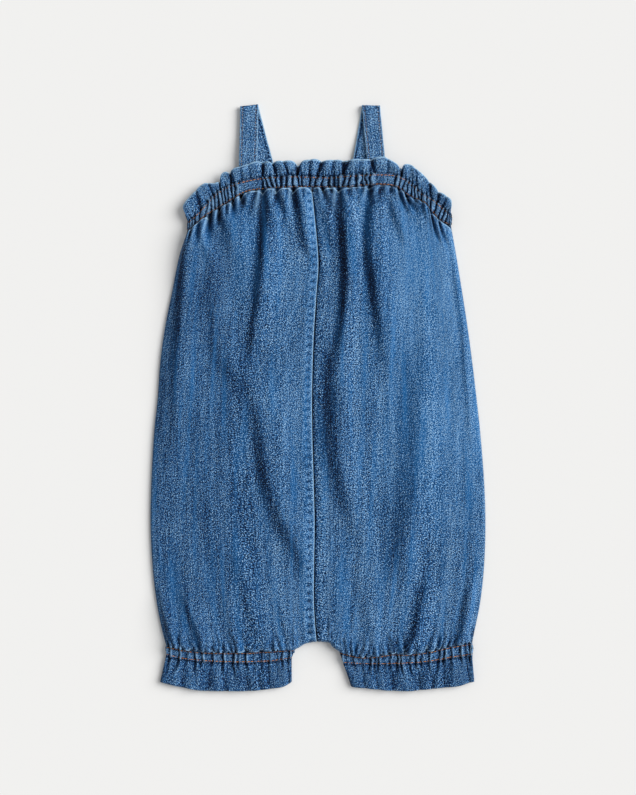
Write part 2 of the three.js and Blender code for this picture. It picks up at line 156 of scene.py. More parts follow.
# The crest of each fold from its head down to its foot: x, y, height, width of the steep side on its left,
# width of the gentle side on its right.
CRESTS = {
    "left side": [
        (-100.5, 134, 1.6, 3.0, 9), (-102.5, 117, 4.2, 5.5, 13), (-105, 79, 4.6, 6.0, 15),
        (-108.2, 31, 4.0, 6.5, 15), (-111.4, -16, 2.4, 6.5, 14),
        (-114, -50, 0.9, 6, 12), (-116, -75, 0, 6, 12),
    ],
    "long fold, left": [
        (-86, 122, 0, 7, 10), (-84.3, 101, 1.2, 7, 11), (-77.9, 60, 2.1, 8, 12), (-72.0, 31, 2.4, 11, 15),
        (-53.0, 12, 2.2, 14, 16), (-42.5, -16, 3.2, 10, 17),
        (-40.6, -48, 3.7, 7.5, 17), (-31.7, -83, 3.5, 8, 16),
        (-16.5, -115, 2.8, 8, 14), (-9, -137, 1.4, 7, 10), (-5, -158, 0, 6, 9),
    ],
    "pouch at the left end": [
        (-94, 138, 1.8, 3.0, 5), (-91, 128, 2.8, 4.0, 5.5), (-86, 112, 2.0, 5.0, 6), (-82, 96, 0, 5, 8),
    ],
    "pouch, left": [
        (-74, 150, 1.6, 4.0, 8), (-70, 138, 3.2, 6.0, 12), (-66, 120, 2.4, 7.0, 12), (-62, 98, 0, 7, 12),
    ],
    "neck fold, left": [
        (-37.4, 166, 5.4, 5.0, 5), (-38.2, 148, 6.2, 6.4, 7), (-38.7, 133, 6.0, 5.4, 8),
        (-44.4, 95, 5.2, 4.6, 10), (-49.2, 47, 3.4, 4.2, 11), (-51.4, 34, 1.6, 4.0, 10), (-53, 20, 0, 4, 10),
    ],
    "short fold by the seam": [
        (-15.5, 166, 3.4, 3.4, 4.5), (-11.5, 143, 4.2, 3.8, 6),
        (-7.9, 122, 2.8, 3.6, 5.5), (-6, 108, 0, 3, 5),
    ],
    "small fold": [(-27.5, 166, 2.4, 2.2, 3.2), (-26.0, 150, 2.2, 2.4, 3.6), (-24.5, 134, 0, 2, 3)],
    "long fold, right of the seam": [
        (19.4, 166, 4.6, 4.6, 5), (22.6, 130, 5.6, 5.2, 8), (24.3, 95, 5.4, 5.0, 9), (21, 52, 4.4, 5.0, 9),
        (16.6, 22, 3.6, 8, 10), (17.4, -6, 4.0, 10.5, 13), (16.8, -36, 3.8, 10, 13), (22, -72, 3.0, 8, 12),
        (32, -106, 1.6, 8, 12), (38, -128, 0, 8, 12),
    ],
    "gather beside the seam": [(4.5, 160, 1.0, 3, 5), (10, 132, 2.0, 4, 5), (15, 110, 0, 4, 5)],
    "neck fold, right": [
        (44.2, 166, 4.2, 4.6, 6), (42.5, 120, 5.4, 5.0, 12),
        (47.8, 86, 4.8, 5.4, 13), (51.9, 52, 3.4, 6, 14),
        (54.4, 28, 1.6, 6, 13), (56, 8, 0, 6, 12),
    ],
    "small fold, right": [
        (58, 160, 1.2, 3, 5), (63, 142, 2.4, 3.6, 6), (68, 127, 1.2, 3.6, 6), (71, 116, 0, 3, 6),
    ],
    "broad fold, right": [
        (80, 58, 0, 10, 14), (83, 31, 1.3, 13, 15), (84, -10, 2.4, 15, 16), (82.6, -48, 3.0, 14, 16),
        (75.2, -94, 3.3, 12, 15), (67.6, -126, 2.4, 9, 13), (61, -148, 0, 7, 12),
    ],
    "right side": [
        (101.5, 142, 1.0, 2.2, 3.5), (107.4, 111, 1.9, 2.4, 3.5),
        (115.6, 47, 1.9, 2.6, 4), (119.8, -6, 1.2, 3, 4),
        (123, -50, 0, 3, 4),
    ],
    "over the right leg": [
        (89, -138, 0, 5, 9), (85, -154, 2.6, 5.2, 9), (76.5, -188, 4.0, 4.2, 6), (73, -202, 2.6, 3, 4),
    ],
    "right leg, outside": [
        (121.5, -140, 0, 4, 5), (119.5, -158, 2.6, 4, 5), (113.6, -190, 3.2, 3.4, 4.5), (111, -198, 2, 3, 4),
    ],
    "over the left leg": [
        (-106, -144, 0, 5, 9), (-101.4, -160, 2.2, 5, 9), (-90.5, -192, 3.6, 4.2, 6), (-87, -201, 2.4, 3, 4),
    ],
    "left leg, outside": [
        (-126, -148, 0, 3, 5), (-122.0, -166, 2.8, 3, 6), (-113.4, -194, 3.2, 2.6, 5), (-112, -200, 2, 2, 4),
    ],
    "left leg, middle": [
        (-64, -112, 0, 6, 9), (-58.8, -134, 1.6, 7, 9), (-50, -172, 2.0, 5, 7), (-45, -198, 1.0, 3, 5),
    ],
    "left leg, small": [(-76, -146, 0, 4, 6), (-72, -164, 1.0, 4, 6), (-65, -196, 1.2, 3, 4)],
    "left leg, inside": [(-30, -150, 0, 5, 7), (-27, -172, 1.1, 4, 6), (-21, -197, 1.0, 3, 4)],
    "right leg, inside": [(40, -150, 0, 6, 8), (42, -176, 1.2, 5, 7), (47, -203, 1.4, 3, 4)],
}

# Short gathers that start at the neck casing: x there, how far they lean and reach, depth, width.
NECK_GATHERS = [
    (-99.5, 0.5, 12, 2.6, 1.5),
    (-94.0, 3.0, 16, 2.2, 1.9),
    (-84.5, 3.0, 20, 3.6, 2.6),
    (-77.5, 2.0, 14, 3.6, 1.9),
    (-72.0, 2.0, 12, 2.2, 1.4),
    (-66.5, 2.0, 14, 3.6, 1.7),
    (-60.5, 2.0, 13, 3.4, 1.6),
    (-55.5, -1.0, 9, 1.6, 1.3),
    (-48.5, -3.0, 16, 2.0, 2.2),
    (-43.0, 0.5, 22, 3.4, 2.2),
    (-36.0, 1.5, 10, 2.2, 1.2),
    (-32.6, 0.4, 15, 3.2, 1.4),
    (-25.0, 2.5, 12, 2.0, 1.3),
    (-19.5, 2.0, 20, 3.2, 1.8),
    (-12.5, 1.0, 9, 1.6, 1.1),
    (-2.0, 3.0, 12, 1.9, 1.4),
    (3.0, 4.0, 17, 3.0, 1.6),
    (9.0, 3.0, 15, 2.4, 1.5),
    (16.2, 0.5, 20, 3.4, 2.0),
    (24.5, -1.0, 9, 2.2, 1.3),
    (30.0, 0.5, 8, 1.6, 1.1),
    (34.5, 0.0, 8, 2.0, 1.1),
    (40.8, -0.5, 16, 3.2, 1.7),
    (50.5, -3.0, 12, 2.4, 1.5),
    (57.5, -1.0, 8, 2.0, 1.3),
    (63.5, 4.5, 12, 3.0, 1.7),
    (69.0, 5.5, 10, 3.6, 1.9),
    (75.5, 3.0, 8, 2.8, 1.4),
    (82.0, -1.0, 10, 2.0, 1.4),
    (88.0, 5.0, 16, 3.0, 1.7),
    (94.5, 3.5, 16, 2.2, 1.4),
]

# Patches of painted light on the front: x, y, half its width and length, strength.
PAINTED_LIGHT_PATCHES = [
    (-62, 131, 13, 18, 0.40),
    (-92, 122, 7, 16, 0.32),
    (-29, 112, 8, 26, 0.22),
    (-4, 146, 7, 20, 0.34),
    (32, 128, 6, 34, 0.28),
    (78, 122, 24, 34, 0.30),
    (-22, 40, 12, 60, 0.14),
    (-18, -40, 12, 50, 0.12),
]

# Folds across the neck frill: x at the rim, x at the stitch row less that, depth, how far the rim dips in.
NECK_FRILL_FOLDS = [
    (-97, 4.0, 2.0, 0.5),
    (-87, 3.0, 1.6, 0.4),
    (-78.5, 5.0, 4.5, 2.6),
    (-70.5, 1.5, 2.4, 3.0),
    (-62, 1.0, 1.2, 0.3),
    (-55, 0.5, 1.0, 0.3),
    (-43.5, 0.8, 2.6, 0.8),
    (-36, -1.5, 2.0, 1.8),
    (-27.5, -2.5, 2.4, 0.5),
    (-15.9, 1.5, 4.6, 4.6),
    (-6.5, 0.6, 1.4, 0.4),
    (3.0, 3.6, 2.8, 0.9),
    (12.0, 1.4, 1.6, 0.4),
    (20.2, 0.3, 3.4, 0.7),
    (23.5, 3.2, 3.0, 0.6),
    (33.5, 1.0, 1.2, 0.3),
    (41.5, -2.0, 2.0, 0.9),
    (55.0, 1.0, 1.4, 0.4),
    (65.0, 0.0, 4.6, 4.8),
    (76.5, -1.0, 1.4, 0.4),
    (88.0, -4.0, 2.4, 0.8),
    (95.5, -4.0, 3.0, 1.2),
    (101.5, -3.0, 1.6, 0.4),
]


# ---- Curves, noise and shapes ---------------------------------------------------------------------------

def step_up(x, low, high):
    """From 0 at low to 1 at high, smoothly."""
    t = np.clip((x - low) / (high - low), 0, 1)
    return t * t * (3 - 2 * t)


def mix(a, b, t):
    return a + (b - a) * t


def hump(distance, width):
    """1 where the distance is 0, dying out smoothly on both sides over about that width."""
    return np.exp(-(distance / width) ** 2)


def roll_down(edge, radius):
    """From 0 on the flat of a piece to 1 at its edge, round a quarter circle of that radius."""
    return 1 - np.sqrt(np.clip(1 - (1 - np.clip(edge / radius, 0, 1)) ** 2, 0, 1))


def through(points, t):
    """A smooth curve through the rows of a table, at places t from 0 to 1. Gives each column in turn."""
    points = np.asarray(points, float)
    last = len(points) - 1
    place = np.clip(t, 0, 1) * last
    i = np.minimum(place.astype(int), last - 1)
    f = (place - i)[..., None]
    before, start = points[np.maximum(i - 1, 0)], points[i]
    end, after = points[i + 1], points[np.minimum(i + 2, last)]
    curve = 2 * start + (end - before) * f + (2 * before - 5 * start + 4 * end - after) * f ** 2
    curve = 0.5 * (curve + (3 * start - before - 3 * end + after) * f ** 3)
    return tuple(np.moveaxis(curve, -1, 0))


def evenly_through(points, t):
    """The same curve through points of x and y, with t even along its length."""
    points = np.asarray(points, float)
    steps = np.hypot(*np.diff(points, axis=0).T)
    run = np.concatenate([[0], np.cumsum(steps)])
    return through(points, np.interp(t, run / run[-1], np.linspace(0, 1, len(points))))


def soft_noise(x, y, width, length, seed):
    """Smooth uneven heights from -1 to 1, with swells of that width along x and length along y."""
    lattice = np.random.default_rng(seed).uniform(-1, 1, (97, 89))
    gx, gy = x / width + 200, y / length + 200
    ix, iy = np.floor(gx).astype(int), np.floor(gy).astype(int)
    fx, fy = gx - ix, gy - iy
    fx, fy = fx * fx * (3 - 2 * fx), fy * fy * (3 - 2 * fy)

    def corner(dx, dy):
        return lattice[(ix + dx) % 97, (iy + dy) % 89]

    return mix(mix(corner(0, 0), corner(1, 0), fx), mix(corner(0, 1), corner(1, 1), fx), fy)


def crimp_cells(seed, length, pitch, uneven):
    """Places of the creases of a crimped casing along its length, unevenly spaced."""
    rng = np.random.default_rng(seed)
    steps = pitch * rng.uniform(1 - uneven, 1 + uneven, int(length / pitch * 2))
    places = np.concatenate([[0], np.cumsum(steps)])
    return places[places < length + pitch]


def pillows(s, places, power):
    """Rounded folds between the creases, from 0 in a crease to 1 at the top, and each fold's number."""
    cell = np.clip(np.searchsorted(places, s, side="right") - 1, 0, len(places) - 2)
    share = (s - places[cell]) / (places[cell + 1] - places[cell])
    return np.clip(4 * share * (1 - share), 0, 1) ** power, cell


def fold_heights(x, y):
    """Height of the folds of the front, and how far in the shade of a crest each point lies, from 0 to 1."""
    height = np.zeros_like(x)
    shade = np.zeros_like(x)
    for number, rows in enumerate(CRESTS.values()):
        line = through(rows, np.linspace(0, 1, 160))
        order = np.argsort(line[1])
        crest_x, crest, steep, gentle = (np.interp(y, line[1][order], line[k][order]) for k in (0, 2, 3, 4))
        crest = np.where((y > line[1].max() + 1) | (y < line[1].min() - 1), 0, crest)
        off = x - crest_x + 0.9 * soft_noise(x * 0, y, 1, 26, 40 + number)
        side = np.where(off < 0, steep, gentle)
        height += crest * hump(off, side)
        crest = np.maximum(crest, 0)
        in_shade = hump(off + 0.8 * steep, 0.7 * steep)
        shade = np.maximum(shade, (crest / 6.2) ** 1.4 * in_shade)
    return height, np.clip(shade, 0, 1)


def gathers_along(run, away, gathers):
    """Height and painted shade of the short creases beside a casing, and painted highlight on the banks at
    their sides, by run along the casing and distance away from it."""
    height = np.zeros_like(run)
    shade = np.zeros_like(run)
    bank_highlight = np.zeros_like(run)
    for start, lean, reach, depth, width in gathers:
        t = away / reach
        off = (run - start - lean * t) / (width * (0.8 + 0.9 * np.clip(t, 0, 2)))
        fade = 1 - step_up(t, 0.3, 1.6)
        trough = np.exp(-np.abs(off) ** 1.8)
        height -= depth * fade * (1.15 * trough - 0.55 * hump(np.abs(off) - 2.2, 1.0))
        shade = np.maximum(shade, fade * trough * depth / 2.6)
        beside = hump(off + 1.7, 0.7) + 0.5 * hump(off - 1.8, 0.7)
        bank_highlight = np.maximum(bank_highlight, fade ** 1.5 * beside * depth / 3.4)
    return height, np.clip(shade, 0, 1), np.clip(bank_highlight, 0, 1)


# ---- Making a sheet of cloth ----------------------------------------------------------------------------

def make_sheet(name, grid, place, weave_size, wall, finish, end_rows=0.0):
    """A sheet of cloth as a fine grid: place(u, v) gives x, y, z of its upper face in millimetres and a
    dict of point values for its finish. weave_size is the flat size in metres that the weave is laid out
    on. end_rows draws the rows of the grid closer together at both ends of v."""
    bpy.ops.object.select_all(action="DESELECT")
    bpy.ops.mesh.primitive_grid_add(x_subdivisions=grid[0], y_subdivisions=grid[1], size=1)
    piece = bpy.context.object
    piece.name = name
    piece.data.name = name
    mesh = piece.data
    flat = np.empty(len(mesh.vertices) * 3)
    mesh.vertices.foreach_get("co", flat)
    flat = flat.reshape(-1, 3)
    u, v = np.clip(flat[:, 0] + 0.5, 0, 1), np.clip(0.5 - flat[:, 1], 0, 1)
    v = np.clip(v - end_rows * np.sin(2 * math.pi * v), 0, 1)
    x, y, z, values = place(u, v)
    mesh.vertices.foreach_set("co", (np.stack([x, y, z], 1) * MM).ravel())
    corner = np.empty(len(mesh.loops), int)
    mesh.loops.foreach_get("vertex_index", corner)
    layout = mesh.uv_layers[0]
    layout.name = "cut"
    flat_place = np.stack([u[corner] * weave_size[0], -v[corner] * weave_size[1]], 1)
    layout.data.foreach_set("uv", flat_place.ravel())
    # point values for the finish: wear with painted highlight, painted shade, and painted light on ridges
    # and lit slopes
    for key in ("wear_and_highlight", "painted_shade", "ridge_and_painted_light"):
        value = values.get(key, np.zeros_like(u))
        mesh.attributes.new(key, "FLOAT", "POINT").data.foreach_set("value", np.clip(value, 0, 1))
    mesh.materials.append(finish)
    bpy.ops.object.shade_smooth()
    thickness = piece.modifiers.new("thickness", "SOLIDIFY")
    thickness.thickness = wall * MM
    thickness.offset = -1
    bpy.ops.object.modifier_apply(modifier="thickness")
    mesh.update()
    return piece


# ---- Finishes -------------------------------------------------------------------------------------------

def dye(red, green, blue):
    """A colour as it looks in even light, from 0 to 255, turned to linear light."""
    shares = (red / 255, green / 255, blue / 255)
    linear = [c / 12.92 if c <= 0.04045 else ((c + 0.055) / 1.055) ** 2.4 for c in shares]
    return (*linear, 1.0)


def node(tree, kind, inputs=None, **settings):
    """Adds a shader node; an input is a value or the socket that feeds it."""
    made = tree.nodes.new(kind)
    for key, value in settings.items():
        setattr(made, key, value)
    for key, value in (inputs or {}).items():
        if isinstance(value, bpy.types.NodeSocket):
            tree.links.new(value, made.inputs[key])
        else:
            made.inputs[key].default_value = value
    return made


def math_node(tree, operation, a, b=0.0, c=0.0, clamp=False):
    made = node(tree, "ShaderNodeMath", {0: a, 1: b, 2: c}, operation=operation, use_clamp=clamp)
    return made.outputs[0]


def yarn_noise(tree, uv, width, length, turn=0.0, detail=2.0):
    """Noise whose grains are width by length in metres, turned on the cloth."""
    turned = node(tree, "ShaderNodeMapping", {"Vector": uv, "Rotation": (0, 0, turn)})
    scale = (1 / width, 1 / length, 1)
    sized = node(tree, "ShaderNodeMapping", {"Vector": turned.outputs[0], "Scale": scale})
    noise = node(
        tree, "ShaderNodeTexNoise",
        {"Vector": sized.outputs[0], "Scale": 1.0, "Detail": detail, "Roughness": 0.55},
        noise_dimensions="2D",
    )
    return noise.outputs["Fac"]


def colour_mix(tree, share, base, other):
    """One colour over another; its colour sockets carry the same names as its other sockets."""
    blend = node(tree, "ShaderNodeMix", {"Factor": share}, data_type="RGBA")
    colours = [socket for socket in blend.inputs if socket.type == "RGBA"]
    tree.links.new(base, colours[0])
    colours[1].default_value = other
    return [socket for socket in blend.outputs if socket.type == "RGBA"][0]


# From the darkest tone, which painted shade brings out in the deepest creases, to bare weft.
DENIM_TONES = [
    (0.0, (6, 15, 34)),
    (0.3, (15, 54, 102)),
    (0.5, (36, 91, 147)),
    (0.7, (72, 134, 188)),
    (1.0, (158, 194, 223)),
]
AZURE = dye(30, 108, 172)     # streaks where the warp kept more of its dye, and painted light on lit slopes
PALE_WEAR_AND_HIGHLIGHT = dye(150, 188, 218)   # edges where the dye is worn off, and painted highlight on the lips and banks of gathers


def denim(name, depth, streaks=0.0):
    """Washed denim: white weft under blue warp in a twill, slubs down the cloth, pale where it is worn and
    where a highlight is painted, darker with painted shade in its creases and lighter with painted light on
    its lit slopes. depth darkens it all over, and streaks is how strongly the azure of dye streaks and
    painted light shows."""
    finish = bpy.data.materials.new(name)
    finish.use_nodes = True
    tree = finish.node_tree
    shader = tree.nodes["Principled BSDF"]
    uv = node(tree, "ShaderNodeUVMap", uv_map="cut").outputs[0]

    twill = yarn_noise(tree, uv, 0.00062, 0.0014, math.radians(-40))
    grain = yarn_noise(tree, uv, 0.00068, 0.00074, 0, 1.0)
    warp = yarn_noise(tree, uv, 0.0009, 0.016)
    weft = yarn_noise(tree, uv, 0.012, 0.0014)
    streak = yarn_noise(tree, uv, 0.006, 0.110)
    cloud = yarn_noise(tree, uv, 0.035, 0.05, 0, 3.0)
    wear_and_highlight = node(tree, "ShaderNodeAttribute", attribute_name="wear_and_highlight").outputs["Fac"]
    painted_shade = node(tree, "ShaderNodeAttribute", attribute_name="painted_shade").outputs["Fac"]
    ridge_and_painted_light = node(tree, "ShaderNodeAttribute", attribute_name="ridge_and_painted_light").outputs["Fac"]

    tone = 0.5 - depth
    gains = ((twill, 2.3), (grain, 2.5), (warp, 0.65), (weft, 0.20), (streak, 0.42), (cloud, 0.25))
    for source, gain in gains:
        centred = math_node(tree, "SUBTRACT", source, 0.5)
        tone = math_node(tree, "MULTIPLY_ADD", centred, gain, tone)
    # painted light lightens the tone; painted shade darkens it, down to near black in the deepest creases
    tone = math_node(tree, "MULTIPLY_ADD", ridge_and_painted_light, 0.20, tone)
    tone = math_node(tree, "MULTIPLY_ADD", painted_shade, -0.72, tone)
    ramp = node(tree, "ShaderNodeValToRGB", {"Fac": tone})
    ends = ramp.color_ramp.elements
    for end, (position, colour) in zip((ends[0], ends[1]), (DENIM_TONES[0], DENIM_TONES[-1])):
        end.position = position
        end.color = dye(*colour)
    for position, colour in DENIM_TONES[1:-1]:
        ramp.color_ramp.elements.new(position).color = dye(*colour)

    # pale where the cloth is worn and where a highlight is painted, broken up by the grain
    wear_and_highlight_share = math_node(tree, "MULTIPLY_ADD", grain, 1.6, -0.75)
    wear_and_highlight_share = math_node(tree, "MULTIPLY_ADD", wear_and_highlight, 1.25, wear_and_highlight_share)
    wear_and_highlight_share = math_node(tree, "MULTIPLY", wear_and_highlight_share, wear_and_highlight, clamp=True)
    kept_dye = yarn_noise(tree, uv, 0.007, 0.09, 0, 1.0)
    azure = math_node(tree, "MULTIPLY_ADD", kept_dye, 2.2, -1.10, clamp=True)
    # painted light: lit slopes and ridges turn more azure
    azure = math_node(tree, "MULTIPLY_ADD", ridge_and_painted_light, 0.75, azure)
    unfaded = math_node(tree, "MULTIPLY_ADD", grain, -1.6 * streaks, 1.8 * streaks)
    azure = math_node(tree, "MULTIPLY", azure, unfaded, clamp=True)
    dyed = colour_mix(tree, azure, ramp.outputs[0], AZURE)
    mixed = colour_mix(tree, wear_and_highlight_share, dyed, PALE_WEAR_AND_HIGHLIGHT)
    tree.links.new(mixed, shader.inputs["Base Color"])

    weave = math_node(tree, "MULTIPLY_ADD", grain, 0.5, math_node(tree, "MULTIPLY", twill, 0.9))
    weave = math_node(tree, "MULTIPLY_ADD", warp, 0.6, weave)
    bump = node(tree, "ShaderNodeBump", {"Height": weave, "Distance": 0.00035, "Strength": 0.55})
    tree.links.new(bump.outputs[0], shader.inputs["Normal"])
    shader.inputs["Roughness"].default_value = 0.88
    shader.inputs["Specular IOR Level"].default_value = 0.12
    shader.inputs["Sheen Weight"].default_value = 0.06
    shader.inputs["Sheen Roughness"].default_value = 0.45
    return finish


def thread(name, red, green, blue):
    """Spun thread, twisted and slightly uneven in colour."""
    finish = bpy.data.materials.new(name)
    finish.use_nodes = True
    tree = finish.node_tree
    shader = tree.nodes["Principled BSDF"]
    place = node(tree, "ShaderNodeTexCoord").outputs["Object"]
    noise = node(tree, "ShaderNodeTexNoise", {"Vector": place, "Scale": 900.0, "Detail": 2.0})
    ramp = node(tree, "ShaderNodeValToRGB", {"Fac": noise.outputs["Fac"]})
    ramp.color_ramp.elements[0].color = dye(red * 0.62, green * 0.6, blue * 0.6)
    ramp.color_ramp.elements[0].position = 0.3
    ramp.color_ramp.elements[1].color = dye(*(min(255, part * 1.2) for part in (red, green, blue)))
    ramp.color_ramp.elements[1].position = 0.72
    tree.links.new(ramp.outputs[0], shader.inputs["Base Color"])
    twist = {"Height": noise.outputs["Fac"], "Distance": 0.0001, "Strength": 0.5}
    bump = node(tree, "ShaderNodeBump", twist)
    tree.links.new(bump.outputs[0], shader.inputs["Normal"])
    shader.inputs["Roughness"].default_value = 0.7
    return finish


panel_denim = denim("washed_denim", depth=0.125, streaks=0.48)
casing_denim = denim("washed_denim_casing", depth=0.15)
frill_denim = denim("washed_denim_frill", depth=0.11)
strap_denim = denim("washed_denim_strap", depth=0.06)
orange_thread = thread("orange_thread", 204, 136, 66)
blue_thread = thread("blue_thread", 70, 104, 146)
tan_thread = thread("tan_thread", 176, 160, 140)


# ---- Body panels ----------------------------------------------------------------------------------------

def band_edge(sections, which):
    """The rim, the upper or the lower stitch row of a gathered edge, as a list of x and y."""
    return [(row[2 * which], row[2 * which + 1]) for row in sections]


RIM, NECK_TOP, NECK_FOOT = 0, 1, 2      # column pairs of the neck table
LEG_TOP, LEG_FOOT, LEG_RIM = 0, 1, 2    # column pairs of the leg tables


def half_body(side, u, v, inset=SEAM_INSET):
    """Plan position on a half body, the same for front and back. u runs from left to right, v down."""
    left = side == "left"
    leg = band_edge(LEFT_LEG_SECTIONS if left else RIGHT_LEG_SECTIONS, LEG_TOP)
    crotch = CROTCH[:4] if left else CROTCH[3:]
    neck = band_edge(NECK_SECTIONS, NECK_FOOT)

    def top(s):
        return through(neck, s / 2 if left else 0.5 + s / 2)

    def bottom(s):
        out = s if left else 1 - s
        on_leg = np.clip(out / LEG_SHARE, 0, 1)
        on_crotch = np.clip((out - LEG_SHARE) / (1 - LEG_SHARE), 0, 1)
        lx, ly = through(leg, on_leg if left else 1 - on_leg)
        cx, cy = through(crotch, on_crotch if left else 1 - on_crotch)
        return np.where(out <= LEG_SHARE, lx, cx), np.where(out <= LEG_SHARE, ly, cy)

    def edge(column, s, t):
        ends = np.array([s])
        start, end = top(ends), bottom(ends)
        rows = [(start[0][0], start[1][0])] + [(row[column], row[0]) for row in BODY_SECTIONS]
        return evenly_through(rows + [(end[0][0], end[1][0])], t)

    u = mix(inset / PANEL_WIDTH, 1 - inset / PANEL_WIDTH, u)
    v = mix(inset / PANEL_LENGTH, 1 - inset / PANEL_LENGTH, v)
    left_edge, right_edge = edge(1 if left else 2, 0.0, v), edge(2 if left else 3, 1.0, v)
    upper, lower = top(u), bottom(u)
    zero, one = np.zeros(1), np.ones(1)
    corners = [(top(zero), top(one)), (bottom(zero), bottom(one))]
    point = []
    for axis in (0, 1):
        down = mix(upper[axis], lower[axis], v)
        across = mix(left_edge[axis], right_edge[axis], u)
        top_line = mix(corners[0][0][axis][0], corners[0][1][axis][0], u)
        foot_line = mix(corners[1][0][axis][0], corners[1][1][axis][0], u)
        point.append(down + across - mix(top_line, foot_line, v))
    return point[0], point[1]


def crotch_distance(x, y):
    """How far a point is from the line of the crotch."""
    cx, cy = through(CROTCH, np.linspace(0, 1, 60))
    return np.sqrt(((x[:, None] - cx) ** 2 + (y[:, None] - cy) ** 2).min(1))


def neck_line(x):
    """The y of the neck casing's lower stitch row at x."""
    line_x, line_y = through(band_edge(NECK_SECTIONS, NECK_FOOT), np.linspace(0, 1, 400))
    return np.interp(x, line_x, line_y)


def small_gathers(x, distance, seed, reach, pitch):
    """Fine uneven gathers that run away from a casing and die out."""
    rng = np.random.default_rng(seed)
    starts = np.arange(-140, 140, pitch)
    starts = starts + rng.uniform(-0.42, 0.42, len(starts)) * pitch
    height = np.zeros_like(x)
    for start in starts:
        length = reach * rng.uniform(0.35, 1.7)
        lean = rng.uniform(-0.22, 0.22)
        deep = rng.uniform(0.35, 1.0)
        width = rng.uniform(0.8, 1.5)
        off = (x - start - lean * distance) / (width * (1 + distance / 18))
        fade = np.exp(-(distance / length) ** 1.5)
        height -= deep * fade * (np.exp(-off ** 2) - 0.35 * hump(np.abs(off) - 2, 1.1))
    return height


def front_surface(x, y, side_distance):
    """Upper face of the body's front in millimetres, and how far it lies in the shade of a fold, for painted
    shade.
    """
    folds, shade = fold_heights(x, y)
    across = np.clip(side_distance / 118, 0, 1)
    crown = 5.0 * np.sqrt(np.clip(1 - (1 - across) ** 2.2, 0, 1))
    below_neck = neck_line(x) - y
    above_leg = y + 200
    puff = 2.2 * hump(below_neck, 30) + 1.0 * hump(above_leg, 22)
    swell = 0.50 * soft_noise(x, y, 14, 120, 5) + 0.32 * soft_noise(x, y, 7, 46, 6)
    swell += 0.16 * soft_noise(x, y, 3.6, 20, 7)
    calm = step_up(side_distance, 1, 10)
    z = BACK_TOP + CLOTH + crown + (puff + swell + folds) * calm
    return z, shade * calm


def neck_run_of(side, x):
    """Run along the neck edge of a half body, from its left end, at which its lower stitch row is at x."""
    share = np.linspace(0, 1, 300)
    along = share / 2 if side == "left" else 0.5 + share / 2
    line_x, _ = through(band_edge(NECK_SECTIONS, NECK_FOOT), along)
    order = np.argsort(line_x)
    return NECK_RUN * np.interp(x, line_x[order], share[order])


def seam_pucker(y):
    """Uneven puckers along the centre seam, from -1 in a dimple to 1 on a swell."""
    return np.cos(2 * math.pi * (y + 1.2 * soft_noise(y * 0, y, 1, 11, 91)) / SEAM_PUCKER_PITCH)


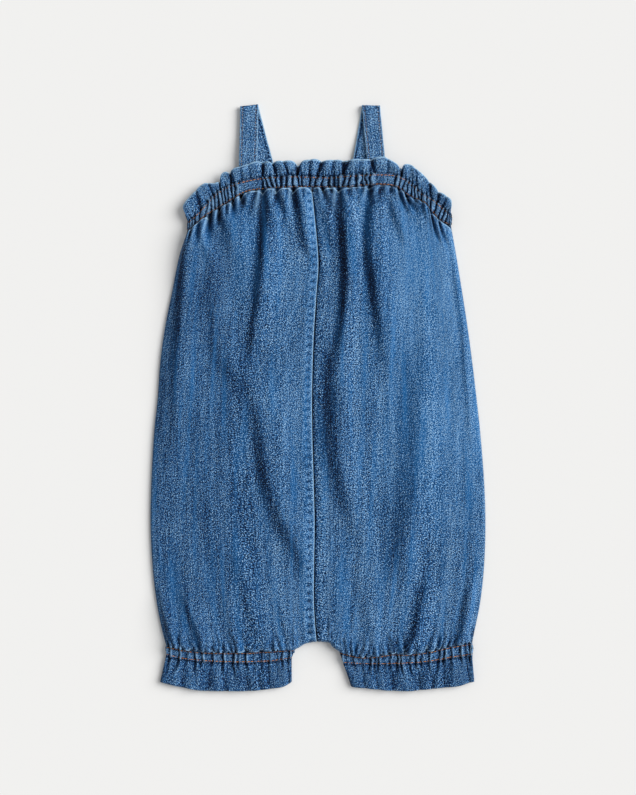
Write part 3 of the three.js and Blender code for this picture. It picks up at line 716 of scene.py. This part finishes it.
def front_panel(side):
    """One half of the front, with its folds, gathers, pouches and its side of the centre seam."""
    left = side == "left"
    gathers = [
        (neck_run_of(side, x), lean, reach, depth, width)
        for x, lean, reach, depth, width in NECK_GATHERS if (x < SEAM_TOP_X) == left
    ]
    pouch_ends = np.array([0.0] + [row[0] for row in gathers if row[3] >= POUCH_DEPTH] + [NECK_RUN])
    rng = np.random.default_rng(14 if left else 15)
    pouch_size = rng.uniform(0.45, 1.15, len(pouch_ends))
    puff_ends = crimp_cells(18 if left else 19, NECK_RUN, 5.4, 0.5)
    puff_size = rng.uniform(0.25, 1.2, len(puff_ends))
    leg_gathers = [
        (start, rng.uniform(-3.5, 3.5), rng.uniform(4, 11), rng.uniform(0.7, 2.8), rng.uniform(0.8, 1.2))
        for start in crimp_cells(22 if left else 23, NECK_RUN, 4.8, 0.5)
    ]

    def place(u, v):
        x, y = half_body(side, u, v)
        side_distance = PANEL_WIDTH * (u if left else 1 - u)
        seam_distance = PANEL_WIDTH * (1 - u if left else u)
        below_neck = v * PANEL_LENGTH
        above_leg = (1 - v) * PANEL_LENGTH
        inward = step_up(side_distance, 1, 6)
        z, shade = front_surface(x, y, side_distance)
        # the cloth bags out under the neck casing, in pouches of uneven size between the creases
        run = u * NECK_RUN
        gather, gather_shade, bank_highlight = gathers_along(run, below_neck, gathers)
        wander = 0.25 * below_neck * soft_noise(run, below_neck, 14, 8, 16)
        pouch, cell = pillows(run + wander, pouch_ends, 0.9)
        bag = 3.0 * pouch * pouch_size[cell] * hump(below_neck, 9)
        z += (gather + bag + 1.1 * small_gathers(x, below_neck, 11, 15, 5.0)) * inward
        over_leg = step_up(crotch_distance(x, y), 2, 12)
        wander = 0.3 * above_leg * soft_noise(run, above_leg, 12, 8, 17)
        puff, puff_cell = pillows(run + wander, puff_ends, 1.0)
        bag = puff_size[puff_cell] * hump(above_leg, 4 + 9 * puff_size[puff_cell])
        leg_gather, leg_gather_shade, leg_bank_highlight = gathers_along(run, above_leg, leg_gathers)
        bag = 3.8 * (puff - 0.4) * bag + 0.7 * leg_gather
        z += (bag + 0.5 * small_gathers(x, above_leg, 12, 11, 4.6)) * over_leg * inward
        bank_highlight = np.maximum(bank_highlight, leg_bank_highlight * over_leg)
        # the cloth dips to each stitch line
        arc = 0.7 + 5.5 * (1 - pouch) ** 1.3 * pouch_size[cell]
        foot_arc = 0.7 + 4.2 * (1 - puff) ** 1.6 * puff_size[puff_cell]
        z -= 3.2 * (1 - step_up(below_neck, arc - 1.3, arc + 0.9)) * inward
        z -= 2.2 * (1 - step_up(above_leg, foot_arc - 1.2, foot_arc + 0.8)) * over_leg * inward
        # centre seam: the seam allowance lifts the left side and puckers, the right side lies lower
        if left:
            allowance = 1 - step_up(seam_distance, 5.9, 7.6)
            z += allowance * (0.45 + 0.30 * seam_pucker(y) * hump(seam_distance - 3.4, 2.6))
            z -= 0.35 * hump(seam_distance - SEAM_ROW, 0.6) + 0.5 * hump(seam_distance, 0.5)
        else:
            z -= 1.3 * np.exp(-(seam_distance / 1.7) ** 1.5)
        z = np.maximum(z, BACK_TOP + CLOTH)
        high = np.maximum(z - CREST_LIMIT, 0)
        z = z - high + CREST_ROUNDING * np.tanh(high / CREST_ROUNDING)
        # the cloth turns down at the side and at the crotch
        edge = np.minimum(side_distance, np.where(over_leg > 0.999, 99, crotch_distance(x, y)))
        roll = roll_down(edge, PANEL_ROLL)
        z = mix(z, CLOTH + EDGE_LIFT, roll)
        # painted highlight on the lips of the pouches below the neck casing and of the puffs above the legs;
        # the rolled side edge is worn pale
        lip_highlight = pouch_size[cell] * hump(below_neck - arc - 0.7, 0.95)
        foot_lip_highlight = puff_size[puff_cell] * hump(above_leg - foot_arc - 0.5, 0.7) * over_leg
        foot_crease_shade = (1 - puff) ** 2 * puff_size[puff_cell] * hump(above_leg, 5) * over_leg
        wear_and_highlight = np.maximum(0.92 * np.maximum(lip_highlight, foot_lip_highlight), np.maximum(0.4 * hump(edge, 1.2), 0.60 * bank_highlight))
        # painted shade where the cloth tucks under each stitch line, in the gathers and in the creases
        # between the puffs above the legs
        tuck_shade = 1 - step_up(below_neck, arc - 0.8, arc + 0.2)
        foot_tuck_shade = (1 - step_up(above_leg, foot_arc - 0.8, foot_arc + 0.2)) * over_leg
        shade = np.maximum(np.maximum(shade, gather_shade), np.maximum(0.95 * tuck_shade, 0.8 * foot_tuck_shade))
        shade = np.maximum(shade, 0.85 * leg_gather_shade * over_leg)
        shade = np.maximum(shade, 0.95 * foot_crease_shade)
        # painted light over the right part of the body and on the banks beside the gathers
        ridge_and_painted_light = 0.50 * step_up(x, 30, 78) * (1 - step_up(y, 115, 165)) * step_up(y, -140, -30) + 0.9 * bank_highlight
        # painted light in the patches of the table above
        for light_patch_x, light_patch_y, half_width, half_length, strength in PAINTED_LIGHT_PATCHES:
            across = (x - light_patch_x) / half_width
            down = (y - light_patch_y) / half_length
            ridge_and_painted_light += strength * np.exp(-across ** 2 - down ** 2)
        # painted shade over the left part of the body
        shade = np.maximum(shade, 0.14 * (1 - step_up(x, -75, -30)))
        if left:
            # the seam line is worn pale; painted shade in the dimples of the topstitching, painted light on
            # the seam allowance, and its swells pale, partly worn and partly painted highlight
            wear_and_highlight = np.maximum(wear_and_highlight, 0.85 * hump(seam_distance, 0.75))
            dimple = (0.5 - 0.5 * seam_pucker(y)) ** 2 * hump(seam_distance - SEAM_ROW, 1.1)
            swell = (0.5 + 0.5 * seam_pucker(y)) ** 2 * hump(seam_distance - SEAM_ROW, 1.3)
            shade = np.maximum(shade, 0.75 * dimple)
            ridge_and_painted_light = ridge_and_painted_light + 0.35 * allowance + 1.0 * swell
            wear_and_highlight = np.maximum(wear_and_highlight, 0.42 * swell)
        else:
            # painted shade in the groove right of the seam
            shade = np.maximum(shade, 0.9 * hump(seam_distance, 0.9))
        return x, y, z, {"wear_and_highlight": wear_and_highlight, "painted_shade": shade, "ridge_and_painted_light": ridge_and_painted_light}

    cut = (PANEL_WIDTH * CUT_FULLNESS * MM, PANEL_CUT_LENGTH * MM)
    name = f"front_panel_{side}_cloth"
    piece = make_sheet(name, FRONT_GRID, place, cut, CLOTH, panel_denim, end_rows=0.09)
    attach(piece, "root")
    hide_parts(f"front_panel_{side}")
    return place


def back_panel(side):
    """One half of the back, laid nearly flat under the front."""
    left = side == "left"

    def place(u, v):
        x, y = half_body(side, u, v, inset=0.6)
        side_distance = PANEL_WIDTH * (u if left else 1 - u)
        z = CLOTH + 0.35 + 0.25 * soft_noise(x, y, 12, 90, 25) * step_up(side_distance, 0, 8)
        return x, y, z, {}

    cut = (PANEL_WIDTH * CUT_FULLNESS * MM, PANEL_CUT_LENGTH * MM)
    piece = make_sheet(f"back_panel_{side}_cloth", BACK_GRID, place, cut, CLOTH, panel_denim)
    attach(piece, "root")
    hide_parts(f"back_panel_{side}")


front_places = {}
for side in ("left", "right"):
    back_panel(side)
    front_places[side] = front_panel(side)


# ---- Gathered edges: casings and frills -----------------------------------------------------------------

CASING_ROW = 0.09          # the stitch rows stand this share of the casing's depth in from its edges
MAIN_NOTCH = 0.7           # frill folds whose rim dips at least this far are the ends of lobes
STRAP_PATCHES = [(-61.5, -45.5), (45.5, 59.0)]     # x where a strap is sewn in and the casing lies flat


def across_band(sections, upper, lower, u, v):
    """Plan position on a strip of a gathered edge between two of its lines."""
    ax, ay = through(band_edge(sections, upper), u)
    bx, by = through(band_edge(sections, lower), u)
    depth = np.hypot(bx - ax, by - ay)
    t = mix(SEAM_INSET / depth, 1 - SEAM_INSET / depth, v)
    return mix(ax, bx, t), mix(ay, by, t)


def strap_patch(x):
    """1 where a strap is sewn to the casing, 0 elsewhere."""
    patch = np.zeros_like(x)
    for low, high in STRAP_PATCHES:
        begins = step_up(x, low - 1.2, low + 0.6)
        ends = step_up(x, high - 0.6, high + 1.2)
        patch = np.maximum(patch, begins * (1 - ends))
    return patch


def strap_bulge(x):
    """How far the straps behind it lift the front of the neck edge."""
    bulge = np.zeros_like(x)
    for low, high in ((-64, -30), (26, 58)):
        bulge = np.maximum(bulge, step_up(x, low - 14, low) * (1 - step_up(x, high, high + 14)))
    return bulge


def casing_creases(length):
    """Places along the neck casing of its creases: those of the gathers below it and some between them."""
    share = np.linspace(0, 1, 600)
    line_x, _ = through(band_edge(NECK_SECTIONS, NECK_FOOT), share)
    order = np.argsort(line_x)
    places = [length * np.interp(row[0], line_x[order], share[order]) for row in NECK_GATHERS]
    places = [0.0] + places + [length - 7.5, length - 3.0, length]
    rng = np.random.default_rng(31)
    between = [mix(a, b, rng.uniform(0.4, 0.6)) for a, b in zip(places, places[1:]) if b - a > 5.2]
    return np.array(sorted(places + between))


def neck_casing():
    """The front of the neck's elastic casing, crimped between its two stitch rows."""
    length = 2 * NECK_RUN
    cells = casing_creases(length)
    rng = np.random.default_rng(32)
    tall = rng.uniform(0.55, 1.25, len(cells))
    deep = rng.uniform(0.55, 1.0, len(cells))

    def place(u, v):
        x, y = across_band(NECK_SECTIONS, NECK_TOP, NECK_FOOT, u, v)
        s = u * length
        s = s + 2.4 * (v - 0.5) * soft_noise(s, v, 7, 9, 33) + 0.8 * soft_noise(s, v * 10, 3.4, 3.5, 34)
        fold, cell = pillows(s, cells, 0.5)
        patch = strap_patch(x)
        near = np.minimum(np.abs(s - cells[cell]) / deep[cell], np.abs(s - cells[cell + 1]) / deep[cell + 1])
        crack = hump(near, 0.85) * (1 - patch)
        side_distance = length * np.minimum(u, 1 - u)
        z = BACK_TOP + CASING_CLOTH + 3.4 + 1.5 * strap_bulge(x)
        z = z + (2.2 * fold * tall[cell] - 1.2) * (1 - 0.9 * patch) - 1.0 * crack
        z += 0.45 * soft_noise(s, v * 9, 2.4, 3.0, 35) * (1 - 0.7 * patch)
        rows = hump(v - CASING_ROW, 0.09) + hump(1 - CASING_ROW - v, 0.09)
        z -= 0.6 * rows + 0.9 * hump(1 - v, 0.05)
        roll = roll_down(side_distance, PANEL_ROLL)
        z = mix(z, CASING_CLOTH + EDGE_LIFT, roll)
        # painted shade in the cracks of the crimp, along the stitch rows and at the lower edge; painted
        # highlight on the tops of the folds, as wear too, and the strap patches a little paler
        painted_shade = np.clip(1.1 * crack + 0.35 * rows + 0.5 * hump(1 - v, 0.06), 0, 1)
        wear_and_highlight = 0.12 * patch + 0.45 * fold ** 5 * tall[cell] * (1 - patch)
        return x, y, z, {"painted_shade": painted_shade, "ridge_and_painted_light": 0.35 * fold * tall[cell] * (1 - patch), "wear_and_highlight": wear_and_highlight}

    name = "neck_casing_front_cloth"
    weave_size = (0.300, 0.0095)
    piece = make_sheet(name, NECK_CASING_GRID, place, weave_size, CASING_CLOTH, casing_denim)
    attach(piece, "root")
    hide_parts("neck_casing_front")
    return place


def frill_folds_at(sections, which, folds):
    """Turns the x of each fold at the rim into its share of the frill's length."""
    u = np.linspace(0, 1, 600)
    x, _ = through(band_edge(sections, which), u)
    order = np.argsort(x)
    return [(np.interp(fold[0], x[order], u[order]), *fold[1:]) for fold in folds]


def neck_frill():
    """The front of the neck's frill: lobes between notches, and fine gathers at its foot."""
    length = RIM_RUN
    folds = frill_folds_at(NECK_SECTIONS, RIM, NECK_FRILL_FOLDS)
    main = [fold for fold in folds if fold[3] >= MAIN_NOTCH]
    places = np.array([0.0] + [fold[0] * length for fold in main] + [length])
    cells = casing_creases(length)
    rng = np.random.default_rng(38)
    tall = rng.uniform(0.6, 1.1, len(places))

    def place(u, v):
        out = 1 - v     # 0 at the stitch row, 1 at the rim
        x, y = across_band(NECK_SECTIONS, RIM, NECK_TOP, u, v)
        s = u * length
        lean = np.interp(s, [fold[0] * length for fold in main], [fold[1] for fold in main])
        lobe, number = pillows(s + lean * (1 - out) * 0.8, places, 0.45)
        fine, _ = pillows(s + 1.0 * soft_noise(s, v * 10, 4, 4, 36), cells, 0.5)
        dip = np.zeros_like(u)
        groove = np.zeros_like(u)
        for where, fold_lean, depth, notch in folds:
            off = s - where * length + fold_lean * (1 - out)
            wide = np.where(off < 0, 0.8, 1.5) * mix(0.8, 1.1, out)
            groove += depth * np.exp(-np.abs(off / wide) ** 1.6) * mix(1.0, 0.85, out)
            dip += notch * np.exp(-np.abs(off / 2.1) ** 1.4)
        foot_x, foot_y = across_band(NECK_SECTIONS, RIM, NECK_TOP, u, np.ones_like(v))
        rim_x, rim_y = across_band(NECK_SECTIONS, RIM, NECK_TOP, u, np.zeros_like(v))
        depth_here = np.hypot(rim_x - foot_x, rim_y - foot_y)
        pull = (dip + 0.5 * soft_noise(s, s * 0, 7, 1, 39)) * out / depth_here
        x, y = x + (foot_x - rim_x) * pull, y + (foot_y - rim_y) * pull
        patch = strap_patch(x)
        z = BACK_TOP + FRILL_CLOTH + 2.8 + 1.6 * strap_bulge(x)
        z = z + 3.0 * lobe * tall[number] * step_up(out, 0.0, 0.6) - 0.75 * groove
        z += (2.0 * fine - 1.2) * (1 - step_up(out, 0.05, 0.5)) * (1 - 0.8 * patch)
        z += 0.9 * soft_noise(s, out * 12, 5, 8, 37) * step_up(out, 0.1, 0.5)
        z -= 1.1 * hump(out, 0.08)
        z -= 0.6 * hump(1 - out, 0.05)
        side_distance = length * np.minimum(u, 1 - u)
        roll = roll_down(side_distance, PANEL_ROLL)
        z = mix(z, FRILL_CLOTH + EDGE_LIFT, roll)
        z = np.maximum(z, FRILL_CLOTH + EDGE_LIFT)
        rim = hump((1 - out) * depth_here, 1.3)
        near_foot = (1 - step_up(out, 0.1, 0.5)) * (1 - patch)
        # painted shade in the grooves, between the fine gathers near the foot, along the stitch row, in the
        # valleys between the lobes and over both ends of the frill, most at the left, lifted a little
        # everywhere
        painted_shade = np.clip(groove / 2.1, 0, 1)
        painted_shade = painted_shade + 0.85 * (1 - fine) ** 1.5 * near_foot + 0.4 * hump(out, 0.08)
        valley_shade = (1 - lobe) ** 1.2 * step_up(out, 0.1, 0.4)
        end_shade = 0.20 * (1 - step_up(x, -98, -60)) + 0.06 * step_up(x, 70, 95)
        painted_shade += 0.30 * valley_shade + end_shade - 0.05
        # painted light on the lobes towards the rim and on the fine gathers near the foot
        ridge_and_painted_light = 0.9 * lobe * out + 0.4 * fine * near_foot
        return x, y, z, {"wear_and_highlight": 0.9 * rim, "painted_shade": painted_shade, "ridge_and_painted_light": ridge_and_painted_light}

    name = "neck_frill_front_cloth"
    weave_size = (0.310, 0.0125)
    piece = make_sheet(name, NECK_FRILL_GRID, place, weave_size, FRILL_CLOTH, frill_denim)
    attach(piece, "root")
    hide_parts("neck_frill_front")


def leg_edge(side, sections, length, seed):
    """Front casing and frill of one leg."""
    ridges = crimp_cells(seed, length, 5.6, 0.55)
    rng = np.random.default_rng(seed + 1)
    tall = rng.uniform(0.25, 1.25, len(ridges))
    reach = rng.uniform(3.0, 11.0, len(ridges))
    bend = rng.uniform(-2.2, 2.2, len(ridges))
    waves = crimp_cells(seed + 2, length, 15, 0.4)

    def ridge_lines(s, below, wide):
        """Heights of the ridges of the crimped cloth and of the creases at their left, also used for painted
        highlight on the ridges and painted shade in the creases.
        """
        ridge_and_painted_light = np.zeros_like(s)
        crease = np.zeros_like(s)
        for start, height, run, lean in zip(ridges, tall, reach, bend):
            off = s - start - lean * (below / 10) ** 2
            fade = height * hump(np.maximum(below, 0), run)
            ridge_and_painted_light = np.maximum(ridge_and_painted_light, fade * hump(off, wide))
            crease = np.maximum(crease, fade * hump(off + 1.9 * wide, 0.8 * wide))
        return ridge_and_painted_light, crease

    foot_line = band_edge(sections, LEG_FOOT)

    def run_at(x):
        return length * (x - foot_line[0][0]) / (foot_line[-1][0] - foot_line[0][0])

    def casing(u, v):
        x, y = across_band(sections, LEG_TOP, LEG_FOOT, u, v)
        s = run_at(x) + 0.9 * soft_noise(u * length, v * 8, 4, 3.5, seed + 3)
        ridge_and_painted_light, crease = ridge_lines(s, v * 0, 0.8)
        z = BACK_TOP + CASING_CLOTH + 1.8 + 1.6 * ridge_and_painted_light - 1.1 * crease
        z += 0.4 * soft_noise(s, v * 8, 2.6, 3, seed + 4)
        rows = hump(v - CASING_ROW, 0.1) + hump(1 - CASING_ROW - v, 0.1)
        z -= 0.6 * rows
        side_distance = length * np.minimum(u, 1 - u)
        roll = roll_down(side_distance, LEG_ROLL)
        z = mix(z, CASING_CLOTH + EDGE_LIFT, roll)
        # painted highlight on the ridges, as wear too, and painted shade in the creases and along the stitch
        # rows
        return x, y, z, {"ridge_and_painted_light": ridge_and_painted_light, "wear_and_highlight": 0.55 * ridge_and_painted_light, "painted_shade": 0.85 * crease + 0.3 * rows}

    def frill(u, v):
        x, y = across_band(sections, LEG_FOOT, LEG_RIM, u, v)
        s = run_at(through(foot_line, u)[0])
        wave, _ = pillows(s + 2.0 * soft_noise(s, v * 20, 14, 14, seed + 5), waves, 0.8)
        ridge_and_painted_light, crease = ridge_lines(s + 0.7 * soft_noise(s, v * 20, 5, 5, seed + 7), v * 21, 0.95 + 0.8 * v)
        z = BACK_TOP + FRILL_CLOTH + 1.3 + 1.7 * ridge_and_painted_light - 1.3 * crease + 1.9 * wave * step_up(v, 0.1, 0.8)
        z += 0.5 * soft_noise(s, v * 22, 6, 12, seed + 6) - 1.0 * hump(v, 0.05)
        z -= 0.4 * hump(1 - v, 0.03)
        side_distance = length * np.minimum(u, 1 - u)
        roll = roll_down(side_distance, LEG_ROLL)
        z = mix(z, FRILL_CLOTH + EDGE_LIFT, roll)
        z = np.maximum(z, FRILL_CLOTH + EDGE_LIFT)
        # the rim is worn pale; painted shade in the creases, in the valleys between the waves and along the
        # stitch row, with the whole frill a little darker; painted highlight on the ridges
        rim = hump((1 - v) * 21, 0.7)
        valley_shade = (1 - wave) ** 1.5 * step_up(v, 0.1, 0.5)
        painted_shade = 0.13 + 0.75 * crease + 0.35 * valley_shade + 0.45 * hump(v, 0.05)
        return x, y, z, {"wear_and_highlight": 0.35 * rim, "ridge_and_painted_light": 0.6 * ridge_and_painted_light, "painted_shade": painted_shade}

    weave_width = 1.35 * length * MM
    name = f"{side}_leg_casing_front_cloth"
    weave_size = (weave_width, 0.0085)
    body = make_sheet(name, LEG_CASING_GRID, casing, weave_size, CASING_CLOTH, casing_denim)
    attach(body, "root")
    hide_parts(f"{side}_leg_casing_front")
    name = f"{side}_leg_frill_front_cloth"
    weave_size = (weave_width, 0.021)
    edge = make_sheet(name, LEG_FRILL_GRID, frill, weave_size, FRILL_CLOTH, frill_denim)
    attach(edge, "root")
    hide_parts(f"{side}_leg_frill_front")
    return casing


def back_strip(name, sections, lines, length, depth, finish, rim_back=0.01):
    """A strip of the back's gathered edge between two of its lines, laid nearly flat. rim_back is the share
    of its depth by which it ends short of the upper line."""
    upper, lower = lines

    def place(u, v):
        x, y = across_band(sections, upper, lower, mix(0.004, 0.996, u), mix(rim_back, 0.99, v))
        z = CLOTH + 0.3 + 0.25 * np.cos(u * length / 2.4) * np.cos(u * 31)
        return x, y, z, {}

    weave_size = (1.3 * length * MM, depth * MM)
    piece = make_sheet(f"{name}_cloth", BACK_STRIP_GRID, place, weave_size, CLOTH, finish)
    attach(piece, "root")
    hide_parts(name)


neck_casing_place = neck_casing()
neck_frill()
casing_lines, frill_lines = (NECK_TOP, NECK_FOOT), (RIM, NECK_TOP)
back_strip("neck_casing_back", NECK_SECTIONS, casing_lines, 240, 10, casing_denim)
back_strip("neck_frill_back", NECK_SECTIONS, frill_lines, 250, 13, frill_denim, rim_back=0.3)

# side, its sections, run along the leg edge, seed
LEGS = [
    ("left", LEFT_LEG_SECTIONS, 103.0, 61),
    ("right", RIGHT_LEG_SECTIONS, 106.0, 71),
]
casing_lines, frill_lines = (LEG_TOP, LEG_FOOT), (LEG_FOOT, LEG_RIM)
leg_places = {}
for side, sections, length, seed in LEGS:
    leg_places[side] = leg_edge(side, sections, length, seed)
    leg = f"{side}_leg"
    back_strip(f"{leg}_casing_back", sections, casing_lines, length, 9, casing_denim)
    back_strip(f"{leg}_frill_back", sections, frill_lines, length, 21, frill_denim)


# ---- Straps ---------------------------------------------------------------------------------------------

STRAP_WIDTH = 14.4
STRAP_TOP = 231.3
# side, x of the fold, x of the front run's end, x of the back run's end, y of both ends
STRAPS = [("left", -54.2, -55.6, -37.4, 165.2), ("right", 41.8, 47.6, 31.6, 168.2)]


def strap(side, fold_x, front_x, back_x, end_y):
    """One strap: up from behind the front casing, over its fold and back down under itself."""
    gap = 0.4
    radius = (STRAP_CLOTH + gap) / 2
    fold = np.array([fold_x, STRAP_TOP - radius - STRAP_CLOTH / 2 - 0.8])
    front_end, back_end = np.array([front_x, end_y]), np.array([back_x, end_y])
    up = (fold - front_end) / np.linalg.norm(fold - front_end)
    down = (fold - back_end) / np.linalg.norm(fold - back_end)
    run = np.linalg.norm(fold - front_end)
    bend = math.pi * radius
    length = 2 * run + bend

    def place(u, v):
        along = (1 - v) * length
        turn = np.clip((along - run) / bend, 0, 1) * math.pi
        on_front = np.clip(along / run, 0, 1)[:, None]
        on_back = np.clip((along - run - bend) / run, 0, 1)[:, None]
        plan = front_end + (fold - front_end) * on_front + (back_end - fold) * on_back
        direction = up + (down - up) * (turn / math.pi)[:, None]
        direction /= np.linalg.norm(direction, axis=1)[:, None]
        across = (u - 0.5) * STRAP_WIDTH * (1 + 0.012 * soft_noise(along, u * 0, 5, 1, 81))
        edge = STRAP_WIDTH * np.minimum(u, 1 - u)
        puff = 0.22 * step_up(edge, 0, 0.9) - 0.3 * hump(edge - 2.0, 0.45)
        puff += 0.10 * soft_noise(along, u * 14, 3.2, 3, 82)
        out = radius + STRAP_CLOTH / 2 + puff
        reach = out * np.sin(turn)
        x = plan[:, 0] + direction[:, 1] * across + direction[:, 0] * reach
        y = plan[:, 1] - direction[:, 0] * across + direction[:, 1] * reach
        lifted = 1.5 * (1 - step_up(y, 190, 212))
        z = lifted + STRAP_CLOTH + 0.40 + gap / 2 + out * np.cos(turn)
        wear_and_highlight = 0.8 * hump(edge, 0.7) + 0.2 * hump(edge - 2.9, 0.5)
        # painted shade in the groove of each stitch row
        return x, y, z, {"wear_and_highlight": wear_and_highlight, "painted_shade": 0.5 * hump(edge - 2.0, 0.5)}

    weave_size = (STRAP_WIDTH * MM, length * MM)
    wall = STRAP_CLOTH - 0.2
    piece = make_sheet(f"strap_{side}_cloth", STRAP_GRID, place, weave_size, wall, strap_denim)
    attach(piece, "root")
    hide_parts(f"strap_{side}")
    return place


strap_places = {side: strap(side, *rest) for side, *rest in STRAPS}


# ---- Stitches -------------------------------------------------------------------------------------------

# Spacing, length and thickness of the stitches of each row.
NECK_STITCH = (2.9, 2.3, 0.6)
LEG_STITCH = (2.8, 2.2, 0.55)
SEAM_STITCH = (SEAM_PUCKER_PITCH / 2, 2.4, 0.5)
STRAP_STITCH = (2.4, 1.8, 0.5)


def stitch_row(name, points, stitch, finish):
    """A row of stitches along points on the cloth, in millimetres: one small capsule, repeated."""
    pitch, stitch_length, thickness = stitch
    points = np.asarray(points, float)
    gaps = np.linalg.norm(np.diff(points, axis=0), axis=1)
    run = np.concatenate([[0], np.cumsum(gaps)])
    count = int(run[-1] / pitch)
    middles = (np.arange(count) + 0.5) * run[-1] / count
    half = stitch_length / 2

    def on_row(s):
        s = np.clip(s, 0, run[-1])
        return np.stack([np.interp(s, run, points[:, k]) for k in range(3)], 1)

    head, tail = on_row(middles - half), on_row(middles + half)
    bpy.ops.object.select_all(action="DESELECT")
    bpy.ops.mesh.primitive_uv_sphere_add(segments=6, ring_count=6, radius=0.5)
    sample = bpy.context.object
    ball = np.array([vertex.co[:] for vertex in sample.data.vertices])
    faces = [tuple(polygon.vertices) for polygon in sample.data.polygons]
    bpy.data.objects.remove(sample)
    forward = tail - head
    forward /= np.maximum(np.linalg.norm(forward, axis=1, keepdims=True), 1e-6)
    sideways = np.cross(forward, np.array([0, 0, 1.0]))
    sideways /= np.maximum(np.linalg.norm(sideways, axis=1, keepdims=True), 1e-6)
    upward = np.cross(sideways, forward)
    middle = (head + tail) / 2
    vertices = (
        middle[:, None]
        + forward[:, None] * ball[None, :, 2:3] * stitch_length
        + sideways[:, None] * ball[None, :, 0:1] * thickness
        + upward[:, None] * ball[None, :, 1:2] * thickness
    ).reshape(-1, 3) * MM
    all_faces = [tuple(i + n * len(ball) for i in face) for n in range(count) for face in faces]
    mesh = bpy.data.meshes.new(name)
    mesh.from_pydata(vertices.tolist(), [], all_faces)
    piece = bpy.data.objects.new(name, mesh)
    bpy.context.collection.objects.link(piece)
    mesh.materials.append(finish)
    for polygon in mesh.polygons:
        polygon.use_smooth = True
    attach(piece, "root")


def row_on(place, u, v, lift=0.12):
    """Points of a stitch row on a piece; it sinks where the painted shade is deep, as in the creases."""
    u, v = np.broadcast_arrays(np.asarray(u, float), np.asarray(v, float))
    x, y, z, values = place(u.copy(), v.copy())
    return np.stack([x, y, z + mix(lift, -0.5, np.clip(values["painted_shade"] - 0.35, 0, 0.6) / 0.6)], 1)


along_casing = np.linspace(0.012, 0.988, 700)
for row, v in (("upper", CASING_ROW), ("lower", 1 - CASING_ROW)):
    points = row_on(neck_casing_place, along_casing, v)
    stitch_row(f"neck_stitches_{row}", points, NECK_STITCH, orange_thread)
    for side in ("left", "right"):
        points = row_on(leg_places[side], along_casing, v)
        stitch_row(f"{side}_leg_stitches_{row}", points, LEG_STITCH, orange_thread)
seam_down = np.linspace(0.012, 0.985, 500)
seam_points = row_on(front_places["left"], 1 - SEAM_ROW / PANEL_WIDTH, seam_down, 0.1)
stitch_row("seam_stitches", seam_points, SEAM_STITCH, blue_thread)
strap_down = np.linspace(0.02, 0.98, 400)
for side, place in strap_places.items():
    for row, edge in (("a", 0.14), ("b", 0.86)):
        points = row_on(place, edge, strap_down, 0.05)
        stitch_row(f"strap_{side}_stitches_{row}", points, STRAP_STITCH, tan_thread)


# ---- Floor, light and camera ----------------------------------------------------------------------------

bpy.ops.object.select_all(action="DESELECT")
bpy.ops.mesh.primitive_plane_add(size=40)
floor = bpy.context.object
floor.name = "floor"
floor_paint = bpy.data.materials.new("pale_floor")
floor_paint.use_nodes = True
paint = floor_paint.node_tree.nodes["Principled BSDF"]
paint.inputs["Base Color"].default_value = dye(236, 235, 233)
paint.inputs["Roughness"].default_value = 0.9
paint.inputs["Specular IOR Level"].default_value = 0.1
floor.data.materials.append(floor_paint)

key = bpy.data.lights.new("key_light", "SUN")
key.energy = 3.3
key.angle = math.radians(46)
key_stand = bpy.data.objects.new("key_light", key)
bpy.context.collection.objects.link(key_stand)
key_stand.rotation_euler = (math.radians(-14), math.radians(51), 0)
world = bpy.data.worlds.new("studio")
world.use_nodes = True
fill = world.node_tree.nodes["Background"]
fill.inputs["Color"].default_value = (0.97, 0.985, 1.0, 1)
fill.inputs["Strength"].default_value = 0.42
bpy.context.scene.world = world

lens = bpy.data.cameras.new("camera")
lens.lens = 85
lens.sensor_width = 36
camera = bpy.data.objects.new("camera", lens)
bpy.context.collection.objects.link(camera)
VIEW_HEIGHT = 0.6285       # what the picture's height covers on the surface
camera.location = (0, 0, VIEW_HEIGHT * lens.lens / lens.sensor_width)
bpy.context.scene.camera = camera
bpy.context.scene.view_settings.view_transform = "Standard"
bpy.context.scene.view_settings.look = "None"
